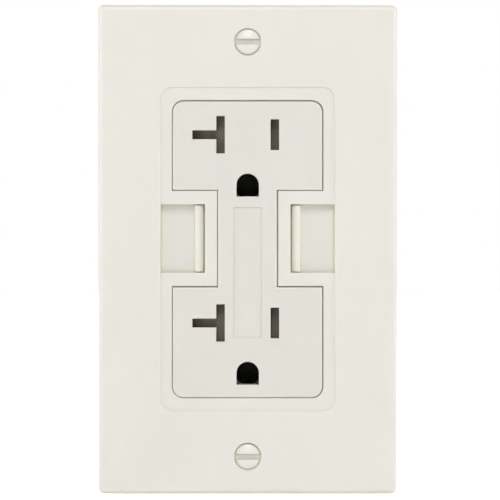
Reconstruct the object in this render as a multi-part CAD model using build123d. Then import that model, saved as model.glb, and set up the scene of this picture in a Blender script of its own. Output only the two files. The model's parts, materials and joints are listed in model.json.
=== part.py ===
from build123d import *

# Duplex 20 A wall receptacle with tamper shutters and two shuttered USB ports, under a one-gang wall plate.
# Millimetres. X is to the right seen from the room, Y runs into the wall, Z is up.
# The origin is on the wall surface at the middle of the wall plate, so the front lies at negative Y.

import os

# ---------------------------------------------------------------- driving dimensions
# Wall plate
PLATE_WIDTH, PLATE_HEIGHT = 69.85, 114.3
PLATE_CORNER = 1.3
PLATE_EDGE_ROUND = 1.3
PLATE_RIM = 1.7
PAD_WIDTH, PAD_HEIGHT, PAD_CORNER = 40.8, 75.6, 3.0
PAD_EDGE_ROUND, OPENING_EDGE_ROUND = 0.22, 0.2
PLATE_SCREW_Z = 96.84 / 2
PLATE_SCREW_HEAD, PLATE_SCREW_HOLE, PLATE_SINK = 3.12, 1.95, 3.25
PLATE_SCREW_CROWN, PLATE_SCREW_TIP = 5.0, 7.0
STIFFENER_Z = (30.0, -24.0)

# Receptacle face, an upright I with a narrow neck beside the USB ports
FACE_WIDTH, FACE_HEIGHT, FACE_CORNER = 34.9, 69.2, 2.5
FACE_WALL = 1.45
FACE_GAP = 0.2
FACE_SAG = 0.06
FACE_EDGE_ROUND = 0.35
FACE_LIP, LIP_REBATE = 0.6, 0.8
FACE_LIP_FRONT, FACE_LIP_BACK = -4.2, -1.6
NECK_WIDTH = 13.76
NOTCH_HEIGHT = 22.7
LABEL_Z, LABEL_WIDTH, LABEL_HEIGHT, LABEL_DEPTH = -5.45, 6.7, 30.4, 0.2

# Plug openings of a 20 A, 125 V receptacle
SLOT_LINES = {"upper": 26.75, "lower": -17.25}
SLOT_X = 6.35
SLOT_WIDTH = 2.0
HOT_SLOT_HEIGHT = 7.2
NEUTRAL_SLOT_HEIGHT = 8.75
NEUTRAL_ARM_END, NEUTRAL_ARM_HEIGHT = 12.95, 2.1
GROUND_DROP = 11.75
GROUND_WIDTH, GROUND_HEIGHT = 5.25, 5.4

# USB ports and their windows in the wall plate
PORT_X, PORT_Z = 13.6, 2.5
WINDOW_INNER, WINDOW_OUTER, WINDOW_HEIGHT = 10.0, 20.3, 15.96
USB_WIDTH, USB_HEIGHT, USB_SKIN = 5.7, 13.1, 0.3
USB_PIN_OFFSETS = (-3.5, -1.0, 1.0, 3.5)
SWITCH_X, SWITCH_ROD_Z, SWITCH_ROD_RADIUS = PORT_X + 4.9, PORT_Z - 8.0, 0.55

# Sliding door over each port, its track and its spring
SHUTTER_TRAVEL = 7.8
DOOR_INNER, DOOR_OUTER, DOOR_HALF, DOOR_CHAMFER = 9.6, 21.3, 8.9, 0.2
RIB_RISE, RIB_WIDTH, RIB_ROUND, RIB_FOOT = 1.5, 1.9, 0.25, 0.15
CAM_LOW, CAM_HIGH, CAM_WIDTH = 0.2, 1.4, 1.2
TRACK_INNER, TRACK_OUTER, TRACK_HALF = 8.4, 33.0, 10.6
TRACK_SCREW_X, TRACK_SCREW_OFFSET = 26.0, 12.2
TRACK_SCREW_RADIUS, TRACK_SCREW_HEAD = 0.7, 1.5
DOOR_SPRING_RADIUS, DOOR_SPRING_Y, DOOR_SPRING_TURNS = 1.0, -2.6, 9
SPRING_PEG = 0.55

# Body behind the wall
BODY_WIDTH, BODY_HEIGHT, BODY_CORNER, BODY_WALL = 44.4, 69.6, 2.2, 1.6
POST_X, POST_Z, POST_RADIUS = 18.3, 30.9, 2.3
POST_JOINT_Y = 6.0
HOUSING_SCREW, HOUSING_HEAD, HOUSING_HEAD_DEPTH = 1.1, 2.1, 2.6
SIDE_RIBS, SIDE_RIB_PITCH, SIDE_RIB_START = 5, 4.2, 17.5

# Depths along Y
PLATE_FRONT, PAD_FRONT, PLATE_INSIDE = -5.6, -5.3, -3.7
SHUTTER_FRONT, SHUTTER_BACK = -3.6, -2.5
TRACK_FRONT, TRACK_BACK = -2.4, -1.4
FACE_FRONT, FACE_INSIDE = -5.5, -3.3
FLANGE_FRONT, FLANGE_BACK = -1.0, 1.1
HOUSING_FRONT, HOUSING_BACK = 1.2, 40.0
CAGE_FRONT, CAGE_BACK = 1.2, 2.2
CARRIER_FRONT, CARRIER_BACK = 2.4, 17.0
CONTACT_FRONT = 3.2
BAR_FRONT, BAR_BACK = 11.4, 12.2
USB_BOARD_FRONT, USB_BOARD_BACK = 14.3, 15.9
BARRIER_FRONT, BARRIER_BACK = 17.1, 17.5
POWER_BOARD_FRONT, POWER_BOARD_BACK = 19.0, 20.6

# Mounting strap
STRAP_THICKNESS = 1.3
STRAP_FRONT = -STRAP_THICKNESS
STRAP_BEND = 35.0
STRAP_WEB_FRONT, STRAP_WEB_HALF = 5.5, 4.0
STRAP_END = 53.1
EAR_WIDTH, EAR_CENTRE, EAR_CORNER = 33.0, 46.3, 2.5
BREAK_OFF_X, BREAK_OFF_Z, BREAK_OFF_RADIUS, BREAK_OFF_HOLE = 15.2, 46.6, 5.4, 1.9
BOX_SCREW_Z = 83.34 / 2
BOX_SCREW_HEAD, BOX_SCREW_HEAD_RISE, BOX_SCREW_TIP = 3.3, 1.9, 28.0

# Screws, with each thread a plain cylinder at its outside radius
SMALL_SCREW = 1.7
SMALL_HOLE = 1.76
NECK_RADIUS, THREAD_START = 1.45, 1.2
TERMINAL_SCREW = 2.05
TERMINAL_HOLE = 2.12
TERMINAL_Z, TERMINAL_Y = 20.0, 7.8
TERMINAL_TAB = 17.4
TERMINAL_HEAD_RADIUS, TERMINAL_HEAD = 4.0, 2.2
GROUND_SCREW_X, GROUND_SCREW_Y = -14.0, 5.0

# Tamper slider
SLIDER_LEFT, SLIDER_RIGHT, SLIDER_HALF = -13.3, 7.9, 5.0
SLIDER_FRONT, SLIDER_BACK, SLIDER_RAMP_DROP = -3.15, 1.1, 2.6
SLIDER_WINDOW = (-2.75, -0.55)
SLIDER_SPRING_RADIUS, SLIDER_SPRING_DROP, SLIDER_SPRING_TURNS = 1.05, 6.6, 16
SLIDER_SPRING_SEAT = 10.15

# Supply boards
LINK_PIN_PITCH, LINK_PIN_RADIUS, LINK_PIN_Z = 2.54, 0.35, PORT_Z + 7.7
LEAD_RADIUS, LEAD_X, LEAD_Z = 0.8, 7.2, 13.2
SPACER_X, SPACER_Z = 17.5, 24.0
TRANSFORMER_Z, TRANSFORMER_LIFT = -9.0, 1.2
INPUT_CAPACITORS = [(-14.0, 6.0), (-14.0, -6.5)]
OUTPUT_CAPACITORS = [(-14.5, -20.5), (-6.5, -23.0)]
FUSE_Z = 20.5

SPRING_WIRE = 0.125
CLEAR = 0.1


# ---------------------------------------------------------------- shared shapes
def block(x, y, z):
    """A box between a pair of limits on each axis."""
    spans = [sorted(pair) for pair in (x, y, z)]
    size = [high - low for low, high in spans]
    middle = [(high + low) / 2 for low, high in spans]
    return Pos(*middle) * Box(*size)


def slab(outline, front, back):
    """A flat outline in X and Z, made thick from y=front to y=back."""
    plane = Plane(origin=(0, back, 0), x_dir=(1, 0, 0), z_dir=(0, -1, 0))
    return extrude(plane * outline, amount=back - front)


def rod_x(radius, x, y, z):
    """A round bar along X between the two values of x."""
    return Pos(sum(x) / 2, y, z) * Rot(0, 90, 0) * Cylinder(radius, abs(x[1] - x[0]))


def rod_y(radius, x, y, z):
    """A round bar along Y between the two values of y."""
    return Pos(x, sum(y) / 2, z) * Rot(90, 0, 0) * Cylinder(radius, abs(y[1] - y[0]))


def rod_z(radius, x, y, z):
    """A round bar along Z between the two values of z."""
    return Pos(x, y, sum(z) / 2) * Cylinder(radius, abs(z[1] - z[0]))


def edges_at(part, axis, position):
    """The edges of a part that lie in one plane square to an axis."""
    return part.edges().filter_by_position(axis, position - 0.001, position + 0.001)


def edges_within(part, y, half_width, half_height):
    """The edges of a part that lie in the plane at y, inside a rectangle about the origin."""
    found = []
    for edge in edges_at(part, Axis.Y, y):
        bounds = edge.bounding_box()
        reach_x = max(abs(bounds.min.X), abs(bounds.max.X))
        reach_z = max(abs(bounds.min.Z), abs(bounds.max.Z))
        if reach_x < half_width + 0.01 and reach_z < half_height + 0.01:
            found.append(edge)
    return found


def mirrored(part):
    """The same part for the other side of the device."""
    return mirror(part, about=Plane.YZ)


def coil(radius, x, y, z, turns):
    """A compression spring along X between the two values of x."""
    length = x[1] - x[0] - 2 * SPRING_WIRE
    path = Helix(length / turns, length, radius - SPRING_WIRE)
    wire = sweep(Plane(path @ 0, z_dir=path % 0) * Circle(SPRING_WIRE), path=path)
    return Pos(x[0] + SPRING_WIRE, y, z) * Rot(0, 90, 0) * wire


def face_outline(grow=0.0):
    """The I-shaped outline of the receptacle face, grown outwards by a clearance."""
    outline = RectangleRounded(FACE_WIDTH + 2 * grow, FACE_HEIGHT + 2 * grow, FACE_CORNER + grow)
    notch_depth = FACE_WIDTH
    inner = NECK_WIDTH / 2 + grow
    for side in (-1, 1):
        outline -= Pos(side * (inner + notch_depth / 2), PORT_Z) * Rectangle(
            notch_depth, NOTCH_HEIGHT - 2 * grow
        )
    return outline


def ground_outline(line, grow=0.0):
    """The arched ground opening below a slot line, with its flat side down."""
    radius = GROUND_WIDTH / 2
    centre = line - GROUND_DROP
    arch = centre + GROUND_HEIGHT / 2 - radius
    bottom = centre - GROUND_HEIGHT / 2
    lower = Pos(0, (arch + bottom - grow) / 2) * Rectangle(GROUND_WIDTH + 2 * grow, arch - bottom + grow)
    return Pos(0, arch) * Circle(radius + grow) + lower


def blade_outlines(line, grow=0.0):
    """The T-shaped neutral slot on the left and the straight hot slot on the right."""
    hot = Pos(SLOT_X, line) * Rectangle(SLOT_WIDTH + 2 * grow, HOT_SLOT_HEIGHT + 2 * grow)
    upright = Pos(-SLOT_X, line) * Rectangle(SLOT_WIDTH + 2 * grow, NEUTRAL_SLOT_HEIGHT + 2 * grow)
    arm_length = NEUTRAL_ARM_END - SLOT_X
    arm = Pos(-(NEUTRAL_ARM_END + SLOT_X) / 2, line) * Rectangle(
        arm_length + 2 * grow, NEUTRAL_ARM_HEIGHT + 2 * grow
    )
    return [hot, upright + arm]


def screw_posts():
    """X and Z of the four corner posts."""
    return [(x, z) for x in (-POST_X, POST_X) for z in (-POST_Z, POST_Z)]


# ---------------------------------------------------------------- wall plate and USB shutters
def wall_plate():
    width, height = PLATE_WIDTH, PLATE_HEIGHT
    plate = slab(RectangleRounded(width, height, PLATE_CORNER), PLATE_FRONT, 0)
    plate = fillet(edges_at(plate, Axis.Y, PLATE_FRONT), PLATE_EDGE_ROUND)
    plate -= slab(Rectangle(width - 2 * PLATE_RIM, height - 2 * PLATE_RIM), PLATE_INSIDE, 1)
    plate -= slab(RectangleRounded(PAD_WIDTH, PAD_HEIGHT, PAD_CORNER), PLATE_FRONT - 1, PAD_FRONT)
    plate = fillet(edges_within(plate, PLATE_FRONT, PAD_WIDTH / 2, PAD_HEIGHT / 2), PAD_EDGE_ROUND)
    plate -= slab(face_outline(FACE_GAP), PLATE_FRONT - 1, 1)
    plate -= slab(face_outline(LIP_REBATE), FACE_LIP_FRONT - CLEAR, 1)
    rim = edges_within(plate, PAD_FRONT, FACE_WIDTH / 2 + FACE_GAP, FACE_HEIGHT / 2 + FACE_GAP)
    plate = fillet(rim, OPENING_EDGE_ROUND)
    window = Rectangle(WINDOW_OUTER - WINDOW_INNER, WINDOW_HEIGHT)
    for side in (-1, 1):
        middle = side * (WINDOW_INNER + WINDOW_OUTER) / 2
        plate -= slab(Pos(middle, PORT_Z) * window, PLATE_FRONT - 1, 1)
    for z in (-PLATE_SCREW_Z, PLATE_SCREW_Z):
        plate += rod_y(PLATE_SINK - 0.05, 0, (PLATE_INSIDE, STRAP_FRONT - CLEAR), z)
        plate -= rod_y(PLATE_SCREW_HOLE, 0, (PLATE_FRONT - 1, 0), z)
        plate -= Pos(0, PLATE_FRONT + 1.0, z) * Rot(90, 0, 0) * Cone(PLATE_SCREW_HOLE, PLATE_SINK, 1.3)
        plate -= rod_y(PLATE_SINK, 0, (PLATE_FRONT - 1, PLATE_FRONT + 0.35), z)
    for side in (-1, 1):
        for z in STIFFENER_Z:
            plate += block((side * 22.8, side * 33.4), (PLATE_INSIDE, -1.8), (z, z + 1.0))
        for z in track_screw_heights():
            plate += rod_y(1.6, side * TRACK_SCREW_X, (PLATE_INSIDE, TRACK_FRONT), z)
            plate -= rod_y(TRACK_SCREW_RADIUS + 0.05, side * TRACK_SCREW_X, (PLATE_INSIDE - 0.6, 0), z)
    return plate


def plate_screws():
    screws = []
    for z in (-PLATE_SCREW_Z, PLATE_SCREW_Z):
        crown = Pos(0, -1.0, z) * Sphere(PLATE_SCREW_CROWN)
        head = rod_y(PLATE_SCREW_HEAD, 0, (PLATE_FRONT - 1.4, PLATE_FRONT + 0.3), z) & crown
        cone = Pos(0, PLATE_FRONT + 0.95, z) * Rot(90, 0, 0) * Cone(1.75, PLATE_SCREW_HEAD, 1.3)
        shank = rod_y(SMALL_SCREW, 0, (PLATE_FRONT + 0.5, PLATE_SCREW_TIP), z)
        slot = block((-4, 4), (PLATE_FRONT - 2, PLATE_FRONT + 0.55), (z - 0.6, z + 0.6))
        screws.append(head + cone + shank - slot)
    return Compound(screws)


def usb_shutter():
    """The sliding door on the right: a flat plate with a finger rib, a switch cam and a spring boss."""
    height = (PORT_Z - DOOR_HALF, PORT_Z + DOOR_HALF)
    door = block((DOOR_INNER, DOOR_OUTER), (SHUTTER_FRONT, SHUTTER_BACK), height)
    door = chamfer(edges_at(door, Axis.Y, SHUTTER_FRONT), DOOR_CHAMFER)
    return door + finger_rib() + switch_cam() + spring_boss()


def finger_rib():
    """The upright rib near the door's inner edge, sloped towards the middle of the device."""
    crest = SHUTTER_FRONT - RIB_RISE
    rib_left = WINDOW_INNER + 0.35
    rib_right = rib_left + RIB_WIDTH
    profile = Polyline(
        (rib_left, SHUTTER_BACK),
        (rib_left, crest + 0.75),
        (rib_left + 1.0, crest + 0.05),
        (rib_right - 0.3, crest),
        (rib_right, crest + 0.3),
        (rib_right, crest + 0.8),
        (rib_right + RIB_FOOT, SHUTTER_FRONT),
        (rib_right + RIB_FOOT, SHUTTER_BACK),
        close=True,
    )
    rib_half = WINDOW_HEIGHT / 2 - 0.25
    rib = extrude(Pos(0, 0, PORT_Z - rib_half) * make_face(profile), 2 * rib_half)
    return fillet(rib.edges().filter_by(Axis.Z).group_by(Axis.Y)[0], RIB_ROUND)


def switch_cam():
    """The ramp on the door's back that presses the port's switch rod."""
    root = SHUTTER_BACK - 0.3
    profile = Polyline(
        (SWITCH_X, root),
        (SWITCH_X, SHUTTER_BACK + CAM_LOW),
        (SWITCH_X - SHUTTER_TRAVEL, SHUTTER_BACK + CAM_HIGH),
        (DOOR_INNER + 0.1, SHUTTER_BACK + CAM_HIGH),
        (DOOR_INNER + 0.1, root),
        close=True,
    )
    floor = SWITCH_ROD_Z - CAM_WIDTH / 2
    ramp = extrude(Pos(0, 0, floor) * make_face(profile), CAM_WIDTH)
    rest_depth = (root, SHUTTER_BACK + CAM_LOW)
    rest = block((SWITCH_X - 0.1, DOOR_OUTER - 1), rest_depth, (floor, floor + CAM_WIDTH))
    return ramp + rest


def spring_boss():
    """The tab and peg on the door's outer edge that carry its spring."""
    tab = block((DOOR_OUTER - 0.9, DOOR_OUTER), (SHUTTER_BACK - 0.5, -1.6), (PORT_Z - 1.05, PORT_Z + 1.05))
    return tab + rod_x(SPRING_PEG, (DOOR_OUTER, DOOR_OUTER + 1.2), DOOR_SPRING_Y, PORT_Z)


def track_screw_heights():
    return [PORT_Z - TRACK_SCREW_OFFSET, PORT_Z + TRACK_SCREW_OFFSET]


def shutter_track():
    """The tray behind the right-hand shutter, which guides it and seats its spring."""
    lug = TRACK_SCREW_OFFSET + 1.6
    through = (TRACK_FRONT - 1, 0)
    guide = DOOR_HALF + CLEAR
    first, last = TRACK_INNER + 0.9, TRACK_OUTER - 1.0
    height = (PORT_Z - TRACK_HALF, PORT_Z + TRACK_HALF)
    tray = block((TRACK_INNER, TRACK_OUTER), (PLATE_INSIDE, TRACK_BACK), height)
    tray += block((23.6, 28.4), (TRACK_FRONT, TRACK_BACK), (PORT_Z - lug, PORT_Z + lug))
    tray -= block((first, last), (PLATE_INSIDE, TRACK_FRONT), (PORT_Z - guide, PORT_Z + guide))
    tray -= block((WINDOW_INNER, 17.9), through, (PORT_Z - 8.0, PORT_Z + 8.0))
    tray -= block((first, 30.0), through, (SWITCH_ROD_Z - 0.8, SWITCH_ROD_Z + 0.8))
    tray -= block((17.5, last), through, (PORT_Z - 1.25, PORT_Z + 1.25))
    tray += rod_x(SPRING_PEG, (last - 1.2, last + 0.1), DOOR_SPRING_Y, PORT_Z)
    for z in track_screw_heights():
        tray -= rod_y(TRACK_SCREW_RADIUS + 0.15, TRACK_SCREW_X, through, z)
    return tray


def shutter_spring():
    span = (DOOR_OUTER + 0.05, TRACK_OUTER - 1.05)
    return coil(DOOR_SPRING_RADIUS, span, DOOR_SPRING_Y, PORT_Z, DOOR_SPRING_TURNS)


def track_screws():
    screws = []
    head_top = TRACK_BACK + 0.9
    for x in (-TRACK_SCREW_X, TRACK_SCREW_X):
        for z in track_screw_heights():
            shank = rod_y(TRACK_SCREW_RADIUS, x, (PLATE_INSIDE - 0.5, TRACK_BACK), z)
            head = rod_y(TRACK_SCREW_HEAD, x, (TRACK_BACK, head_top), z)
            head = fillet(edges_at(head, Axis.Y, head_top), 0.4)
            drive = block((x - 2, x + 2), (head_top - 0.4, 0), (z - 0.2, z + 0.2))
            screws.append(shank + head - drive)
    return Compound(screws)


# ---------------------------------------------------------------- receptacle face and tamper shutters
def face_cover():
    # The face hangs a hair low and to the left in the plate's opening.
    hang = Pos(-FACE_SAG, -FACE_SAG)
    cover = slab(hang * face_outline(), FACE_FRONT, FLANGE_BACK)
    cover = fillet(edges_at(cover, Axis.Y, FACE_FRONT), FACE_EDGE_ROUND)
    cover += slab(hang * face_outline(FACE_LIP), FACE_LIP_FRONT, FACE_LIP_BACK)
    cover += slab(RectangleRounded(BODY_WIDTH, BODY_HEIGHT, BODY_CORNER), FLANGE_FRONT, FLANGE_BACK)
    cover -= slab(face_outline(-FACE_WALL), FACE_INSIDE, FLANGE_BACK + 1)
    for line in SLOT_LINES.values():
        cover += slab(ground_outline(line, 0.9), FACE_INSIDE - 0.5, FLANGE_BACK)
        cover -= slab(ground_outline(line), FACE_FRONT - 1, FLANGE_BACK + 1)
        for slot in blade_outlines(line):
            cover -= slab(slot, FACE_FRONT - 1, FACE_INSIDE + 1)
    label = Pos(0, LABEL_Z) * RectangleRounded(LABEL_WIDTH, LABEL_HEIGHT, 0.4)
    cover -= slab(label, FACE_FRONT - 1, FACE_FRONT + LABEL_DEPTH)
    for x, z in screw_posts():
        cover += rod_y(POST_RADIUS, x, (FLANGE_BACK - 0.2, POST_JOINT_Y), z)
        cover -= rod_y(HOUSING_SCREW + 0.05, x, (0.0, POST_JOINT_Y + 1), z)
    for side in (-1, 1):
        port = Pos(side * PORT_X, PORT_Z) * Rectangle(USB_WIDTH + 0.3, USB_HEIGHT + 0.3)
        cover -= slab(port, FLANGE_FRONT - 0.5, FLANGE_BACK + 1)
        rod_hole = (FLANGE_FRONT - 0.5, FLANGE_BACK + 1)
        cover -= rod_y(SWITCH_ROD_RADIUS + 0.2, side * SWITCH_X, rod_hole, SWITCH_ROD_Z)
    return cover


def tamper_slider(line):
    """The spring-loaded slider behind one pair of blade slots: two ramps, one pass-through window."""
    fall = SLIDER_FRONT + SLIDER_RAMP_DROP
    neutral_top, hot_top = -SLOT_X + 1.15, SLIDER_RIGHT - 0.3
    left, right = SLIDER_WINDOW
    profile = Polyline(
        (SLIDER_LEFT, SLIDER_BACK),
        (SLIDER_LEFT, fall),
        (neutral_top, SLIDER_FRONT),
        (left, SLIDER_FRONT),
        (left, fall),
        (right, fall),
        (hot_top, SLIDER_FRONT),
        (SLIDER_RIGHT, SLIDER_FRONT),
        (SLIDER_RIGHT, SLIDER_BACK),
        close=True,
    )
    slider = extrude(Pos(0, 0, line - SLIDER_HALF) * make_face(profile), 2 * SLIDER_HALF)
    slider -= block((left, right), (SLIDER_FRONT - 1, SLIDER_BACK + 1), (line - 3.8, line + 3.8))
    slider += block((SLIDER_LEFT, SLIDER_LEFT + 1.2), (-1.2, SLIDER_BACK), (line - 7.9, line - SLIDER_HALF))
    slider += rod_x(0.6, (SLIDER_LEFT + 1.1, SLIDER_LEFT + 2.4), 0.0, line - SLIDER_SPRING_DROP)
    return slider


def tamper_spring(line):
    span = (SLIDER_LEFT + 1.25, SLIDER_SPRING_SEAT)
    return coil(SLIDER_SPRING_RADIUS, span, 0.0, line - SLIDER_SPRING_DROP, SLIDER_SPRING_TURNS)


def tamper_cage(line):
    """The floor and rails that hold one tamper slider against the face."""
    floor = Pos(0, line - 1.25) * RectangleRounded(31.6, 15.3, 0.8)
    floor += Pos(0, line - 4.4) * RectangleRounded(35.0, 9.0, 0.8)
    cage = slab(floor, CAGE_FRONT, CAGE_BACK)
    for slot in blade_outlines(line, 0.25):
        cage -= slab(slot, CAGE_FRONT - 1, CAGE_BACK + 1)
    cage += block((-15.6, 15.6), (-2.9, CAGE_FRONT), (line + SLIDER_HALF + CLEAR, line + SLIDER_HALF + 1.1))
    seat = SLIDER_SPRING_SEAT + 0.05
    cage += block((seat, seat + 1.0), (-1.4, CAGE_FRONT), (line - 7.9, line - SLIDER_HALF - 0.3))
    cage += rod_x(0.6, (seat - 1.3, seat + 0.1), 0.0, line - SLIDER_SPRING_DROP)
    for x in ((-15.6, -9.0), (5.0, 11.2)):
        cage += block(x, (-1.4, CAGE_FRONT), (line - 8.8, line - 8.0))
    return cage


# ---------------------------------------------------------------- contacts and terminals
def contact_bar(side):
    """The brass bar on one side: side -1 is neutral with T-shaped contacts, +1 is hot."""

    def across(near, far):
        return (side * near, side * far)

    depth = (CONTACT_FRONT, BAR_BACK)
    base = (BAR_FRONT, BAR_BACK)
    bar = block(across(5.0, 9.5), base, (-22.0, 31.0))
    for line in SLOT_LINES.values():
        cross_cut = (line - 1.3, line + 1.3)
        for near in (SLOT_X - 1.5, SLOT_X + 0.7):
            leaf = block(across(near, near + 0.8), depth, (line - 3.3, line + 3.3))
            leaf -= block(across(near - 1, near + 2), (CONTACT_FRONT - 1, BAR_FRONT), cross_cut)
            bar += leaf
        if side < 0:
            bar += block(across(9.0, 12.6), base, (line - 1.6, line + 1.6))
            for low in (line - 1.6, line + 0.8):
                bar += block(across(8.6, 12.6), depth, (low, low + 0.8))
    for z in (-TERMINAL_Z, TERMINAL_Z):
        tab_end = TERMINAL_TAB + 1.0
        bar += block(across(9.0, tab_end), base, (z - 3.0, z + 3.0))
        bar += block(across(TERMINAL_TAB, tab_end), (3.4, BAR_BACK), (z - 4.6, z + 4.6))
        bar += rod_x(3.0, across(TERMINAL_TAB - 1.2, TERMINAL_TAB + 0.2), TERMINAL_Y, z)
        bar -= rod_x(TERMINAL_HOLE, across(TERMINAL_TAB - 2, tab_end + 1), TERMINAL_Y, z)
    return bar


def driver_recess(depth):
    """A straight slot crossed by a shorter one, to be cut into a screw head on +Z."""
    return Box(9.0, 1.2, depth) + Box(1.2, 5.2, depth)


def terminal_screw(length):
    """A binding-head terminal screw on +Z: the shank starts at z=0 and the head at z=length."""
    head = Pos(0, 0, length + TERMINAL_HEAD / 2) * Cylinder(TERMINAL_HEAD_RADIUS, TERMINAL_HEAD)
    head = fillet(edges_at(head, Axis.Z, length + TERMINAL_HEAD), 0.7)
    head -= Pos(0, 0, length + TERMINAL_HEAD) * driver_recess(2.0)
    shank = Pos(0, 0, length / 2) * Cylinder(TERMINAL_SCREW, length)
    shank = chamfer(edges_at(shank, Axis.Z, 0), 0.4)
    return shank + head


def side_terminal(side, z):
    """A terminal screw and its clamp plate on one side of the device."""
    length = 6.4
    head_seat = TERMINAL_TAB + 2.2
    turn = Rot(0, side * 90, 0)
    screw = Pos(side * (head_seat - length), TERMINAL_Y, z) * turn * terminal_screw(length)
    plate_span = (side * (head_seat - 1.1), side * (head_seat - CLEAR))
    clamp = block(plate_span, (TERMINAL_Y - 3.9, TERMINAL_Y + 3.9), (z - 4.4, z + 4.4))
    clamp = chamfer(clamp.edges().filter_by(Axis.X), 1.2)
    for groove in (-3.1, 3.1):
        clamp -= rod_y(0.5, side * (head_seat - 1.25), (0, 20), z + groove)
    clamp -= rod_x(TERMINAL_HOLE + 0.1, (side * 15, side * 25), TERMINAL_Y, z)
    return screw, clamp


def ground_terminal():
    """The ground screw and its clamp plate, under the tab of the mounting strap."""
    length = 4.2
    tab_face = -STRAP_BEND - STRAP_THICKNESS
    head_seat = tab_face - 1.2
    place = Pos(GROUND_SCREW_X, GROUND_SCREW_Y, head_seat + length) * Rot(180, 0, 0)
    screw = place * terminal_screw(length)
    span_x = (GROUND_SCREW_X - 4.2, GROUND_SCREW_X + 4.2)
    span_y = (GROUND_SCREW_Y - 3.8, GROUND_SCREW_Y + 3.8)
    clamp = block(span_x, span_y, (head_seat + CLEAR, tab_face - CLEAR))
    clamp = chamfer(clamp.edges().filter_by(Axis.Z), 1.2)
    for groove in (-3.0, 3.0):
        clamp -= rod_y(0.5, GROUND_SCREW_X + groove, (0, 10), tab_face + 0.05)
    clamp -= rod_z(TERMINAL_HOLE + 0.1, GROUND_SCREW_X, GROUND_SCREW_Y, (head_seat - 2, tab_face + 2))
    return screw, clamp


def ground_contact(line):
    """A split sleeve that grips the round ground pin, with a riveting foot behind the strap."""
    centre = line - GROUND_DROP
    web_back = STRAP_WEB_FRONT + STRAP_THICKNESS
    foot = (web_back, web_back + 0.6)
    sleeve = rod_y(3.0, 0, (4.4, 14.0), centre)
    sleeve += block((-3.7, 3.7), foot, (centre - 3.3, centre + 6.4))
    sleeve -= rod_y(2.45, 0, (0, 20), centre)
    sleeve -= block((-0.4, 0.4), (0, 20), (centre - 5, centre))
    sleeve -= rod_y(0.95, 0, (0, 20), centre + 4.8)
    return sleeve


def ground_rivets():
    rivets = []
    web_back = STRAP_WEB_FRONT + STRAP_THICKNESS
    for line in SLOT_LINES.values():
        z = line - GROUND_DROP + 4.8
        rivet = rod_y(0.9, 0, (STRAP_WEB_FRONT - 0.6, web_back + 1.2), z)
        rivet += rod_y(1.6, 0, (STRAP_WEB_FRONT - 0.7, STRAP_WEB_FRONT), z)
        rivet += rod_y(1.6, 0, (web_back + 0.6, web_back + 1.3), z)
        rivets.append(rivet)
    return Compound(rivets)


def mounting_strap():
    """A stamped strap: an eared plate at each end, joggled back to a web behind the face."""
    thick = STRAP_THICKNESS
    web_back = STRAP_WEB_FRONT + thick
    profile = Polyline(
        (-thick, 38.0),
        (-thick, STRAP_BEND),
        (STRAP_WEB_FRONT, STRAP_BEND),
        (STRAP_WEB_FRONT, 0),
        (web_back, 0),
        (web_back, STRAP_BEND + thick),
        (0, STRAP_BEND + thick),
        (0, 38.0),
        close=True,
    )
    bend = make_face(profile)
    corners = [v for group in bend.vertices().group_by(Axis.Y)[1:-1] for v in group if v.Y > 1]
    bend = fillet([v for v in corners if v.X == 0 or abs(v.X - STRAP_WEB_FRONT) < 0.01], 0.4)
    half = extrude(Plane.YZ * bend, amount=STRAP_WEB_HALF, both=True)
    half += block((-8.0, 8.0), (-thick, 3.2), (STRAP_BEND, STRAP_BEND + thick))
    ear = Pos(0, EAR_CENTRE) * RectangleRounded(EAR_WIDTH, 2 * (STRAP_END - EAR_CENTRE), EAR_CORNER)
    ear += Pos(0, STRAP_BEND + 2.5) * Rectangle(20.0, 5.0)
    for side in (-1, 1):
        ear += Pos(side * BREAK_OFF_X, BREAK_OFF_Z) * Circle(BREAK_OFF_RADIUS)
        for notch_z, notch_height in ((50.9, 5.0), (41.3, 4.0)):
            ear -= Pos(side * 11.6, notch_z) * Rectangle(0.9, notch_height)
        ear -= Pos(side * (BREAK_OFF_X + 0.4), BREAK_OFF_Z) * Circle(BREAK_OFF_HOLE)
    half += slab(ear, -thick, 0)
    half += rod_y(2.7, 0, (-0.5, 1.2), PLATE_SCREW_Z)
    half -= rod_y(SMALL_HOLE, 0, (-3, 3), PLATE_SCREW_Z)
    half -= slab(Pos(0, BOX_SCREW_Z) * SlotOverall(6.8, 4.0), -thick - 1, 1)
    strap = half + mirror(half, about=Plane.XY)
    tab_z = (-STRAP_BEND - thick, -STRAP_BEND)
    strap += block((-18.6, -9.4), (-thick, 9.6), tab_z)
    strap += block((-18.6, -9.4), (-thick, 0), (-39.8, -STRAP_BEND))
    strap -= rod_z(TERMINAL_HOLE, GROUND_SCREW_X, GROUND_SCREW_Y, (-40, -30))
    for line in SLOT_LINES.values():
        centre = line - GROUND_DROP
        strap -= rod_y(3.15, 0, (STRAP_WEB_FRONT - 1, web_back + 1), centre)
        strap -= rod_y(0.95, 0, (STRAP_WEB_FRONT - 1, web_back + 1), centre + 4.8)
    return strap


def box_screws():
    screws = []
    head_front = STRAP_FRONT - BOX_SCREW_HEAD_RISE
    for z in (-BOX_SCREW_Z, BOX_SCREW_Z):
        head = rod_y(BOX_SCREW_HEAD, 0, (head_front, STRAP_FRONT), z)
        head = fillet(edges_at(head, Axis.Y, head_front), 0.8)
        head -= block((-4, 4), (head_front - 1, head_front + 1.0), (z - 0.55, z + 0.55))
        neck = rod_y(NECK_RADIUS, 0, (STRAP_FRONT, THREAD_START), z)
        thread = rod_y(SMALL_SCREW, 0, (THREAD_START, BOX_SCREW_TIP), z)
        thread = chamfer(edges_at(thread, Axis.Y, BOX_SCREW_TIP), 0.4)
        screws.append(head + neck + thread)
    return Compound(screws)


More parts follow.
